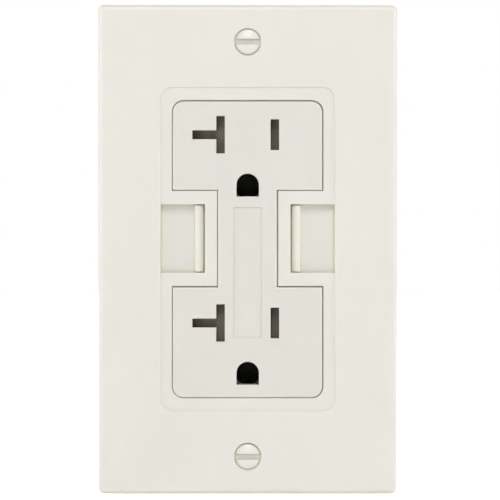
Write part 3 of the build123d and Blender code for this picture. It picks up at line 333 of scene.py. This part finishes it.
def wound_tape(name, colour, wire_colour):
    """Polyester tape over copper wire: the wire shows faintly through, in rows around the winding."""
    paint = Paint(name)
    wire_pitch = 0.42
    rows = paint.math("SINE", paint.math("MULTIPLY", paint.axis("X"), 2 * math.pi / wire_pitch))
    wire = paint.remap(rows, -1.0, 1.0)
    wrinkles = paint.noise(0.9, 4.0, 0.6, paint.stretched(0.6, 1.0, 1.0))
    body = paint.mix(paint.math("MULTIPLY", wire, 0.45), colour, wire_colour)
    body = paint.mix(paint.remap(wrinkles, 0.4, 0.7, 0.0, 0.4), body, shaded(colour, 0.7))
    normal = paint.bump(wire, 0.05, paint.bump(wrinkles, 0.08, paint.rounded(0.1)))
    return paint.finish(body, 0.22, normal, Coat_Weight=0.6, Coat_Roughness=0.1)


def capacitor_can(name, sleeve, stripe, metal, crown_y_mm):
    """A shrink sleeve with a pale polarity stripe, and a bare scored aluminium crown past crown_y_mm."""
    stripes_per_mm, stripe_share = 0.31, 0.22
    paint = Paint(name)
    across = paint.math("FRACT", paint.math("MULTIPLY", paint.axis("X"), stripes_per_mm))
    band = paint.math("LESS_THAN", across, stripe_share)
    shrink = paint.noise(0.8, 4.0, 0.6, paint.stretched(1.0, 0.3, 1.0))
    body = paint.mix(band, sleeve, stripe)
    body = paint.mix(paint.remap(shrink, 0.4, 0.7, 0.0, 0.3), body, shaded(sleeve, 0.6))
    crown = paint.remap(paint.axis("Y"), crown_y_mm - 0.35, crown_y_mm - 0.3)
    brushed = paint.noise(4.0, 3.0, 0.6)
    body = paint.mix(crown, body, paint.mix(brushed, shaded(metal, 0.8), metal))
    normal = paint.bump(shrink, 0.05, paint.rounded(0.1))
    return paint.finish(body, 0.32, normal, metallic=crown)


def glossy_epoxy(name, colour, roughness=0.18):
    """Dipped epoxy: a thick glossy coat with small pits and thin high spots."""
    paint = Paint(name)
    lumps = paint.noise(0.8, 2.0)
    pits = paint.remap(paint.cells(1.8), 0.05, 0.16, 1.0, 0.0)
    body = paint.mix(paint.remap(lumps, 0.3, 0.7), shaded(colour, 0.85), shaded(colour, 1.15))
    body = paint.mix(paint.math("MULTIPLY", pits, 0.4), body, shaded(colour, 0.5))
    normal = paint.bump(pits, -0.03, paint.bump(lumps, 0.12, paint.rounded(0.15)))
    return paint.finish(body, roughness, normal, Coat_Weight=0.8, Coat_Roughness=0.06)


def all_materials():
    """One finished material for each of the record's material slots."""
    almond = srgb(231, 229, 222)
    zinc = (0.68, 0.70, 0.72, 1.0)
    brass = (0.78, 0.56, 0.22, 1.0)
    nickel = (0.74, 0.73, 0.71, 1.0)
    screw_brass = (0.82, 0.60, 0.26, 1.0)
    capacitor_crown = span("input_capacitors", 1)[1] / MM
    # the first value sets how much painted shade darkens corners and gaps
    pale = {"corner_shade": 0.97, "soft": 0.3}
    return {
        "plate_plastic": moulded_plastic("plate_plastic", almond, 0.36, 0.2, **pale),
        "face_plastic": moulded_plastic("face_plastic", shaded(almond, 0.945), 0.4, 0.14, **pale),
        "shutter_plastic": moulded_plastic("shutter_plastic", shaded(almond, 1.02), 0.34, 0.14, **pale),
        "painted_screw": enamelled("painted_screw", shaded(almond, 1.02)),
        "tamper_plastic": tamper_plastic("tamper_plastic", srgb(112, 104, 96)),
        "housing_plastic": moulded_plastic("housing_plastic", srgb(38, 38, 41), 0.5, 0.18, 0.012, 0.55),
        "carrier_plastic": moulded_plastic("carrier_plastic", srgb(74, 74, 78), 0.5, 0.12, 0.01, 0.6),
        "strap_steel": plated_metal("strap_steel", zinc, 0.34, (0.25, 1.0, 3.0), 0.45),
        "screw_steel": plated_metal("screw_steel", zinc, 0.26, (1.0, 1.0, 1.0)),
        "spring_steel": plated_metal("spring_steel", (0.55, 0.56, 0.58, 1.0), 0.24, (0.3, 3.0, 3.0)),
        "brass_strip": contact_brass("brass_strip", brass),
        "brass_screw": plated_metal("brass_screw", screw_brass, 0.25, (1.0, 2.5, 1.0), 0.0, 0.6),
        "silver_screw": plated_metal("silver_screw", nickel, 0.22, (1.0, 2.5, 1.0)),
        "green_screw": plated_metal("green_screw", (0.06, 0.36, 0.13, 1.0), 0.3, (2.5, 1.0, 1.0), 0.0, 0.5),
        "fibre": fibre_board("fibre", srgb(150, 116, 78)),
        "usb_steel": plated_metal("usb_steel", nickel, 0.2, (3.0, 0.25, 3.0)),
        "usb_tongue_plastic": moulded_plastic("usb_tongue_plastic", srgb(30, 30, 32), 0.42, 0.08, 0.006),
        "gold_pin": plated_metal("gold_pin", (0.92, 0.68, 0.28, 1.0), 0.18, (3.0, 0.3, 3.0)),
        "switch_plastic": moulded_plastic("switch_plastic", srgb(34, 34, 36), 0.45, 0.1, 0.006),
        "pin_plastic": moulded_plastic("pin_plastic", srgb(224, 223, 216), 0.3, 0.08, 0.004),
        "board": circuit_board("board", srgb(22, 84, 46), (0.85, 0.62, 0.3, 1.0)),
        "barrier_sheet": moulded_plastic("barrier_sheet", srgb(70, 72, 76), 0.6, 0.05, 0.02),
        "ferrite": ferrite("ferrite", srgb(52, 52, 55)),
        "bobbin_plastic": moulded_plastic("bobbin_plastic", srgb(28, 28, 30), 0.4, 0.1),
        "winding_tape": wound_tape("winding_tape", srgb(222, 180, 52), srgb(158, 84, 38)),
        "can_sleeve": capacitor_can(
            "can_sleeve", srgb(24, 30, 58), srgb(176, 182, 190), (0.8, 0.8, 0.82, 1.0), capacitor_crown
        ),
        "chip_plastic": moulded_plastic("chip_plastic", srgb(30, 30, 31), 0.55, 0.06, 0.014),
        "varistor_coat": glossy_epoxy("varistor_coat", srgb(30, 78, 158)),
        "fuse_coat": glossy_epoxy("fuse_coat", srgb(196, 176, 140), 0.3),
        "tinned_wire": plated_metal("tinned_wire", (0.78, 0.78, 0.78, 1.0), 0.22, (3.0, 0.3, 3.0)),
    }


MATERIALS = all_materials()


def dress_frame():
    """Gives every CAD node the finished material of its slot."""
    for part in frame["record"]["subparts"]:
        node = frame["nodes"][part["node"]]
        for place in node.material_slots:
            place.material = MATERIALS[part["material_slot"]]


# ---------------------------------------------------------------- mesh building blocks
def new_piece(name, points, faces, body, slot, sharp_deg=35):
    """A mesh object in the frame's own axes that rides on a body and takes a slot's material."""
    mesh = bpy.data.meshes.new(name)
    mesh.from_pydata(points, [], faces)
    mesh.update()
    piece = bpy.data.objects.new(name, mesh)
    bpy.context.scene.collection.objects.link(piece)
    dress_piece(piece, body, slot, sharp_deg)
    return piece


def dress_piece(piece, body, slot, sharp_deg=35):
    """Gives a piece its material and shading and, once it is in place, its body."""
    piece.data.materials.clear()
    piece.data.materials.append(MATERIALS[slot])
    smooth(piece.data, sharp_deg)
    if body:
        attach(piece, body)


def smooth(mesh, sharp_deg):
    """Smooth shading, with edges over an angle left sharp."""
    mesh.polygons.foreach_set("use_smooth", [True] * len(mesh.polygons))
    mesh.set_sharp_from_angle(angle=math.radians(sharp_deg))


def facing(origin, direction):
    """The matrix that takes +Z to a direction and puts the base at origin."""
    turn = Vector(direction).normalized().to_track_quat("Z", "Y").to_matrix().to_4x4()
    return Matrix.Translation(Vector(origin)) @ turn


def bridge(first, second):
    """Faces between two rings of equal length, or between a ring and a pole."""
    count = max(len(first), len(second))
    faces = []
    for step in range(count):
        after = (step + 1) % count
        near = [first[step % len(first)], first[after % len(first)]]
        far = [second[after % len(second)], second[step % len(second)]]
        faces.append(list(dict.fromkeys(near + far)))
    return faces


def thread_depth(turns):
    """0 at a thread's crest and 1 at its root, with a flat on each."""
    crest_flat, flank = 0.12, 0.72
    share = abs(2 * (turns % 1.0) - 1)
    return min(1.0, max(0.0, (share - crest_flat) / flank))


def turned(rows, segments=48):
    """Points and faces of a closed solid turned about +Z. A row is (height, radius, thread depth)."""
    points, rings = [], []
    for height, radius, depth in rows:
        if radius == 0:
            rings.append([len(points)])
            points.append(Vector((0, 0, height)))
            continue
        rings.append(list(range(len(points), len(points) + segments)))
        for step in range(segments):
            turn = step / segments
            cut = depth * thread_depth(height / THREAD_PITCH - turn) if depth else 0.0
            angle = 2 * math.pi * turn
            reach = radius - cut
            points.append(Vector((reach * math.cos(angle), reach * math.sin(angle), height)))
    faces = []
    for lower, upper in zip(rings, rings[1:]):
        faces += bridge(lower, upper)
    return points, faces


def cut_away(piece, cutters):
    """Carves closed cutter shapes, given as (points, faces), out of a piece's mesh."""
    for points, faces in cutters:
        mesh = bpy.data.meshes.new("cutter")
        mesh.from_pydata(points, [], faces)
        cutter = bpy.data.objects.new("cutter", mesh)
        bpy.context.scene.collection.objects.link(cutter)
        carve = piece.modifiers.new("carve", "BOOLEAN")
        carve.operation = "DIFFERENCE"
        carve.solver = "EXACT"
        carve.object = cutter
        graph = bpy.context.evaluated_depsgraph_get()
        carved = bpy.data.meshes.new_from_object(piece.evaluated_get(graph))
        piece.modifiers.clear()
        piece.data = carved
        bpy.data.objects.remove(cutter)


def box_shape(size, centre):
    """Points and faces of a box."""
    half = [s / 2 for s in size]
    points = [
        Vector((centre[0] + x * half[0], centre[1] + y * half[1], centre[2] + z * half[2]))
        for x in (-1, 1)
        for y in (-1, 1)
        for z in (-1, 1)
    ]
    faces = [(0, 1, 3, 2), (4, 6, 7, 5), (0, 4, 5, 1), (2, 3, 7, 6), (0, 2, 6, 4), (1, 5, 7, 3)]
    return points, faces


def tube_along(path, radius, sides=10):
    """Points and faces of a closed round wire that follows a list of points."""
    points, rings = [], []
    side = Vector((0, 0, 1))
    for index, centre in enumerate(path):
        before, after = path[max(index - 1, 0)], path[min(index + 1, len(path) - 1)]
        along = (after - before).normalized()
        side = (side - along * side.dot(along)).normalized()
        up = along.cross(side)
        rings.append(list(range(len(points), len(points) + sides)))
        for step in range(sides):
            angle = 2 * math.pi * step / sides
            points.append(centre + radius * (math.cos(angle) * side + math.sin(angle) * up))
    faces = [tuple(reversed(rings[0]))]
    for first, second in zip(rings, rings[1:]):
        faces += bridge(first, second)
    faces.append(tuple(rings[-1]))
    return points, faces


# ---------------------------------------------------------------- screws
def thread_rows(start, end, radius, depth):
    """Rows of a threaded length, with the thread fading in at both ends."""
    steps = max(8, round((end - start) / THREAD_PITCH * 8))
    fade = THREAD_PITCH
    rows = []
    for step in range(steps + 1):
        height = start + (end - start) * step / steps
        share = min(1.0, (height - start) / fade, (end - height) / fade)
        rows.append((height, radius, depth * max(share, 0.02)))
    return rows


def arc_rows(centre_height, centre_radius, radius, start_deg, end_deg, steps=6):
    """Rows along a rounded corner of a turned profile."""
    rows = []
    for step in range(steps + 1):
        angle = math.radians(start_deg + (end_deg - start_deg) * step / steps)
        rows.append((centre_height + radius * math.sin(angle), centre_radius + radius * math.cos(angle), 0))
    return rows


def cross_cutters(top, slot_length, cross_length, width, depth):
    """A long slot crossed by a shorter one, cut down from a screw's top."""
    tall = 2 * depth
    return [
        box_shape((slot_length, width, tall), (0, 0, top)),
        box_shape((width, cross_length, tall), (0, 0, top)),
    ]


def screw_piece(name, rows, cutters, place, body, slot, stands_for):
    """A turned screw with a driver recess, put in its place."""
    points, faces = turned(rows)
    piece = new_piece(name, points, faces, None, slot)
    cut_away(piece, cutters)
    piece.data.transform(place)
    dress_piece(piece, body, slot)
    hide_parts(stands_for)
    return piece


def plate_screws():
    """Oval-head slotted screws, painted to match the plate."""
    low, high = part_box("plate_screws")
    half_width = (high.x - low.x) / 2
    radius = half_width - 0.07 * MM
    length = high.y - low.y
    shank, crown, head = 1.7 * MM, 0.82 * MM, 2.05 * MM
    slot_width, slot_depth = 1.3 * MM, 1.0 * MM
    thread_start, thread_end = 0.35 * MM, length - 2.6 * MM
    rows = [(0, 0, 0), (0, shank * 0.7, 0)]
    rows += thread_rows(thread_start, thread_end, shank, THREAD_DEPTH)
    rows += [(length - head, shank, 0), (length - crown - 0.06 * MM, radius - 0.02 * MM, 0)]
    dome = (radius**2 + crown**2) / (2 * crown)
    rim = math.degrees(math.acos(radius / dome))
    rows += arc_rows(length - dome, 0, dome, rim, 88.5, 8)
    rows.append((length, 0, 0))
    cutters = [box_shape((3 * radius, slot_width, 2 * slot_depth), (0, 0, length))]
    for level, z in (("upper", high.z - half_width), ("lower", low.z + half_width)):
        place = facing((0, high.y, z), (0, -1, 0))
        screw_piece(f"{level}_plate_screw", rows, cutters, place, "device", "painted_screw", "plate_screws")


def box_screws():
    """Pan-head screws that hold the strap to the wall box."""
    low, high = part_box("box_screws")
    radius = (high.x - low.x) / 2
    length = high.y - low.y
    head, shank, neck = 1.9 * MM, 1.7 * MM, 1.45 * MM
    chamfer, pan_round = 0.08 * MM, 0.8 * MM
    seat = length - head
    thread_start, thread_end = 0.4 * MM, seat - 2.6 * MM
    rows = [(0, 0, 0), (0, shank * 0.72, 0)]
    rows += thread_rows(thread_start, thread_end, shank, THREAD_DEPTH)
    rows += [(seat - 2.45 * MM, neck, 0), (seat, neck, 0)]
    rows += [(seat, radius - chamfer, 0), (seat + chamfer, radius, 0)]
    rows += arc_rows(length - pan_round, radius - pan_round, pan_round, 0, 85, 6)
    rows.append((length, 0, 0))
    cutters = cross_cutters(length, 3 * radius, 3.6 * MM, 1.1 * MM, 1.0 * MM)
    for level, z in (("upper", high.z - radius), ("lower", low.z + radius)):
        place = facing((0, high.y, z), (0, -1, 0))
        screw_piece(f"{level}_box_screw", rows, cutters, place, "device", "screw_steel", "box_screws")


def binding_screw(node, body, slot, direction):
    """A terminal screw with a broad binding head, whose shank ends inside the tapped tab."""
    low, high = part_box(node)
    size = high - low
    centre = (low + high) / 2
    axis = max(range(3), key=lambda i: abs(direction[i]))
    length = size[axis]
    radius = max(size[i] for i in range(3) if i != axis) / 2
    shank, head, head_round = 2.05 * MM, 2.2 * MM, 0.7 * MM
    seat = length - head
    rows = [(0, 0, 0), (0, shank * 0.75, 0)]
    rows += thread_rows(0.4 * MM, seat - 0.3 * MM, shank, THREAD_DEPTH)
    rows += [(seat - 0.2 * MM, shank * 0.85, 0), (seat, shank * 0.85, 0)]
    for lift, inset in ((0.0, 0.25), (0.12, 0.04), (0.25, 0.0)):
        rows.append((seat + lift * MM, radius - inset * MM, 0))
    rows += arc_rows(length - head_round, radius - head_round, head_round, 0, 84, 6)
    rows.append((length, 0, 0))
    cutters = cross_cutters(length, 3 * radius, 5.2 * MM, 1.2 * MM, 1.0 * MM)
    tip = centre - Vector(direction) * length / 2
    screw_piece(node + "_turned", rows, cutters, facing(tip, direction), body, slot, node)


def terminal_screws():
    """Brass screws on the hot side, nickel-plated ones on the neutral side and a green ground screw."""
    for level in LEVELS:
        for pole, side in POLES.items():
            slot = "silver_screw" if pole == "neutral" else "brass_screw"
            binding_screw(f"{level}_{pole}_screw", f"{level}_{pole}_screw_body", slot, (side, 0, 0))
    binding_screw("ground_screw", "ground_screw_body", "green_screw", (0, 0, -1))


# ---------------------------------------------------------------- springs
def coil_path(start, end, radius, y, z, turns, closed_turns=1.4):
    """Centre line of a compression spring along X, with its end turns closed."""
    per_turn = 28
    steps = round(turns * per_turn)
    wire_rise = 0.26 * MM
    open_turns = turns - 2 * closed_turns
    rise = (end - start - 2 * closed_turns * wire_rise) / open_turns
    path = []
    for step in range(steps + 1):
        turn = step / per_turn
        first = min(turn, closed_turns)
        middle = min(max(turn - closed_turns, 0), open_turns)
        last = max(turn - closed_turns - open_turns, 0)
        x = start + (first + last) * wire_rise + middle * rise
        angle = 2 * math.pi * turn
        path.append(Vector((x, y + radius * math.cos(angle), z + radius * math.sin(angle))))
    return path


def spring_piece(node, turns):
    """A wound spring in place of its plain CAD coil."""
    low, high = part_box(node)
    wire = 0.125 * MM
    coil_radius = (high.y - low.y) / 2 - wire
    centre = (low + high) / 2
    path = coil_path(low.x + wire, high.x - wire, coil_radius, centre.y, centre.z, turns)
    points, faces = tube_along(path, wire, 8)
    piece = new_piece(node + "_wound", points, faces, "device", "spring_steel", 60)
    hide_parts(node)
    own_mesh(piece)


def springs():
    """The door springs, fixed at their outer ends, and the tamper springs, fixed at their right ends."""
    for side, sign in SIDES.items():
        spring_piece(f"{side}_shutter_spring", 9)
    for level in LEVELS:
        spring_piece(f"{level}_tamper_spring", 16)


# ---------------------------------------------------------------- small added detail
def pads(places, base, rise):
    """Points and faces of small pads with sloped sides that rise along +Y from the plane y=base.

    A place is (x, z, width, height).
    """
    points, faces = [], []
    for x, z, width, height in places:
        start = len(points)
        slope = min(rise, width / 3, height / 3)
        for depth, inset in ((0.0, 0.0), (0.6 * rise, 0.15 * slope), (rise, slope)):
            half_x, half_z = width / 2 - inset, height / 2 - inset
            for corner_x, corner_z in ((-1, -1), (1, -1), (1, 1), (-1, 1)):
                points.append(Vector((x + corner_x * half_x, base + depth, z + corner_z * half_z)))
        rings = [list(range(start + 4 * layer, start + 4 * layer + 4)) for layer in range(3)]
        faces.append(tuple(reversed(rings[0])))
        faces += bridge(rings[0], rings[1]) + bridge(rings[1], rings[2])
        faces.append(tuple(rings[2]))
    return points, [tuple(reversed(face)) for face in faces]


def board_parts():
    """Small surface-mounted parts on the supply board: dark bodies and tinned end caps."""
    base = span("power_board", 1)[1]
    body_size, body_rise = (1.5 * MM, 1.25 * MM), 0.55 * MM
    cap_size, cap_rise = (0.42 * MM, 1.35 * MM), 0.6 * MM
    cap_offset = 0.95 * MM
    spots = [(x * MM, z * MM) for z in (-19.5, -22.6, -25.7) for x in (2.6, 6.0, 9.4, 12.8)]
    spots += [(x * MM, z * MM) for z in (24.2, 27.3) for x in (-6.5, -3.0, 0.5, 4.0, 7.5)]
    bodies = [(x, z, *body_size) for x, z in spots]
    caps = [(x + side * cap_offset, z, *cap_size) for x, z in spots for side in (-1, 1)]
    points, faces = pads(bodies, base, body_rise)
    new_piece("chip_resistors", points, faces, "device", "chip_plastic")
    points, faces = pads(caps, base, cap_rise)
    new_piece("chip_resistor_caps", points, faces, "device", "tinned_wire")


def can_capacitors(node, places, radius):
    """Electrolytic capacitors in place of the plain cans: crimped, with a rolled sleeve and a scored top."""
    stand_off = 0.3 * MM
    base = span("power_board", 1)[1] + stand_off
    height = span(node, 1)[1] - base
    foot, crimp, roll, dish = 0.5 * MM, 1.6 * MM, 0.35 * MM, 0.28 * MM
    rows = [(0, 0, 0), (0, radius - 0.9 * MM, 0), (0.05 * MM, radius - foot, 0)]
    rows += arc_rows(foot, radius - foot, foot, -80, 0, 5)
    rows += arc_rows(crimp, radius, -0.3 * MM, -60, 60, 6)
    rows += arc_rows(height - roll, radius - roll, roll, 0, 90, 6)
    rows += [(height - dish, radius - roll - 0.25 * MM, 0), (height - dish, 0, 0)]
    points, faces = turned(rows, 56)
    score = 0.12 * MM
    for index, (x, z) in enumerate(places):
        can = new_piece(f"{node}_{index + 1}", points, faces, None, "can_sleeve", 40)
        cutters = [box_shape((1.1 * radius, score, score), (0, 0, height - dish))]
        cutters.append(box_shape((score, 1.1 * radius, score), (0, 0, height - dish)))
        cut_away(can, cutters)
        can.data.transform(facing((x * MM, base, z * MM), (0, 1, 0)))
        dress_piece(can, "device", "can_sleeve", 40)
        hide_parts(node)


def capacitors():
    """Two cans by the mains input and two smaller ones by the output, each placed by (x, z) in mm."""
    can_capacitors("input_capacitors", [(-14.0, 6.0), (-14.0, -6.5)], 4.0 * MM)
    can_capacitors("output_capacitors", [(-14.5, -20.5), (-6.5, -23.0)], 3.15 * MM)


# ---------------------------------------------------------------- stage, light and camera
def stage_floor():
    """A plain pale floor under the object, which glows a little and looks pure white to the camera."""
    size, drop, glow = 3.0, 0.3 * MM, 0.1
    z = cad_low.z - drop
    points = [Vector((x * size, y * size, z)) for x, y in ((-1, -1), (1, -1), (1, 1), (-1, 1))]
    mesh = bpy.data.meshes.new("studio_floor")
    mesh.from_pydata(points, [], [(0, 1, 2, 3)])
    floor = bpy.data.objects.new("studio_floor", mesh)
    bpy.context.scene.collection.objects.link(floor)
    paint = Paint("studio_floor")
    colour = paint.mix(paint.noise(0.01, 2.0), srgb(250, 250, 249), srgb(254, 254, 253))
    seen_directly = paint.node("LightPath").outputs["Is Camera Ray"]
    strength = paint.math("MAXIMUM", seen_directly, glow)
    paint.finish(colour, 0.9, Emission_Color=(1, 1, 1, 1), Emission_Strength=strength)
    mesh.materials.append(paint.material)


def studio_world():
    """Soft white surroundings that are brighter behind and above; the camera sees plain white."""
    brighter_towards = (0.05, 0.9, 0.25)
    dimmest, brightest = 0.13, 0.56
    light_colour = (1.0, 0.995, 0.985, 1.0)
    white = (1.0, 1.0, 1.0, 1.0)
    world = bpy.data.worlds.new("studio")
    bpy.context.scene.world = world
    world.use_nodes = True
    tree = world.node_tree
    tree.nodes.clear()
    coordinates = tree.nodes.new("ShaderNodeTexCoord")
    direction = tree.nodes.new("ShaderNodeVectorMath")
    direction.operation = "DOT_PRODUCT"
    direction.inputs[1].default_value = brighter_towards
    tree.links.new(coordinates.outputs["Generated"], direction.inputs[0])
    strength = tree.nodes.new("ShaderNodeMapRange")
    limits = {"From Min": -1.0, "From Max": 1.0, "To Min": dimmest, "To Max": brightest}
    for name, value in limits.items():
        strength.inputs[name].default_value = value
    tree.links.new(direction.outputs["Value"], strength.inputs["Value"])
    lit = tree.nodes.new("ShaderNodeBackground")
    lit.inputs["Color"].default_value = light_colour
    tree.links.new(strength.outputs[0], lit.inputs["Strength"])
    seen = tree.nodes.new("ShaderNodeBackground")
    seen.inputs["Color"].default_value = white
    path = tree.nodes.new("ShaderNodeLightPath")
    choose = tree.nodes.new("ShaderNodeMixShader")
    tree.links.new(path.outputs["Is Camera Ray"], choose.inputs[0])
    tree.links.new(lit.outputs[0], choose.inputs[1])
    tree.links.new(seen.outputs[0], choose.inputs[2])
    out = tree.nodes.new("ShaderNodeOutputWorld")
    tree.links.new(choose.outputs[0], out.inputs["Surface"])


def softbox(name, place, target, size, power):
    """A square area light aimed at a point."""
    light = bpy.data.lights.new(name, "AREA")
    light.shape = "SQUARE"
    light.size = size
    light.energy = power
    lamp = bpy.data.objects.new(name, light)
    bpy.context.scene.collection.objects.link(lamp)
    lamp.location = place
    lamp.rotation_mode = "QUATERNION"
    lamp.rotation_quaternion = (Vector(target) - Vector(place)).to_track_quat("-Z", "Y")


def studio_lights():
    """A large soft light above the camera, weak ones at both sides and one behind."""
    target = (0, 0, 0)
    softbox("key_light", (0.1, -1.5, 1.5), target, 1.1, 19.4)
    softbox("left_strip", (-0.8, -0.25, 0.1), target, 0.4, 2.5)
    softbox("right_strip", (0.8, -0.25, 0.1), target, 0.4, 2.2)
    softbox("back_light", (0.3, 0.9, 0.6), target, 0.6, 3.0)


def photo_camera():
    """A long lens straight in front of the plate, which nearly fills the frame's height."""
    frame_height = 116.7 * MM
    aim_x, aim_z = 0.54 * MM, -0.19 * MM
    lens, sensor = 200.0, 36.0
    camera = bpy.data.cameras.new("camera")
    camera.lens, camera.sensor_width = lens, sensor
    view = bpy.data.objects.new("camera", camera)
    bpy.context.scene.collection.objects.link(view)
    distance = frame_height * lens / sensor
    view.location = (aim_x, cad_low.y - distance, aim_z)
    view.rotation_euler = (math.radians(90), 0, 0)
    camera.clip_start, camera.clip_end = 0.05, 20.0
    bpy.context.scene.camera = view


# ---------------------------------------------------------------- assembly
dress_frame()
plate_screws()
box_screws()
terminal_screws()
springs()
board_parts()
capacitors()
stage_floor()
studio_world()
studio_lights()
photo_camera()
bpy.context.scene.view_settings.view_transform = "Standard"
